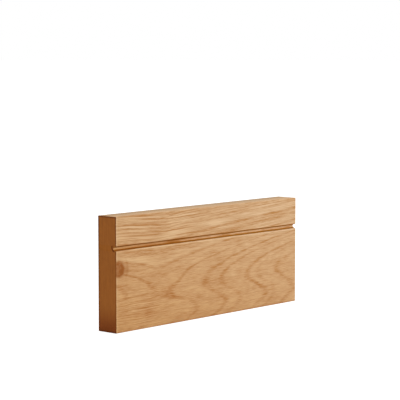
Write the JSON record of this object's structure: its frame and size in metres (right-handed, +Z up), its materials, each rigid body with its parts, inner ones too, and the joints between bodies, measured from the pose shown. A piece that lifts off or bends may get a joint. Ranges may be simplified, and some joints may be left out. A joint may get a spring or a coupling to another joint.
{
  "type": "door architrave",
  "caption": "Short straight length of oak door architrave, square-edged and flat-backed, with a narrow decorative groove along its show face.",
  "frame": {"origin": "middle of the long edge that the piece stands on, which is the bottom centre of its bounding box", "axes": "+X along the length, +Y from the grooved show face to the flat back, +Z up the width to the long edge nearer the groove"},
  "size_m": [0.172, 0.015, 0.07],
  "materials": {
    "oak": "matt"
  },
  "bodies": {
    "root": {"architrave": "oak"}
  },
  "joints": []
}
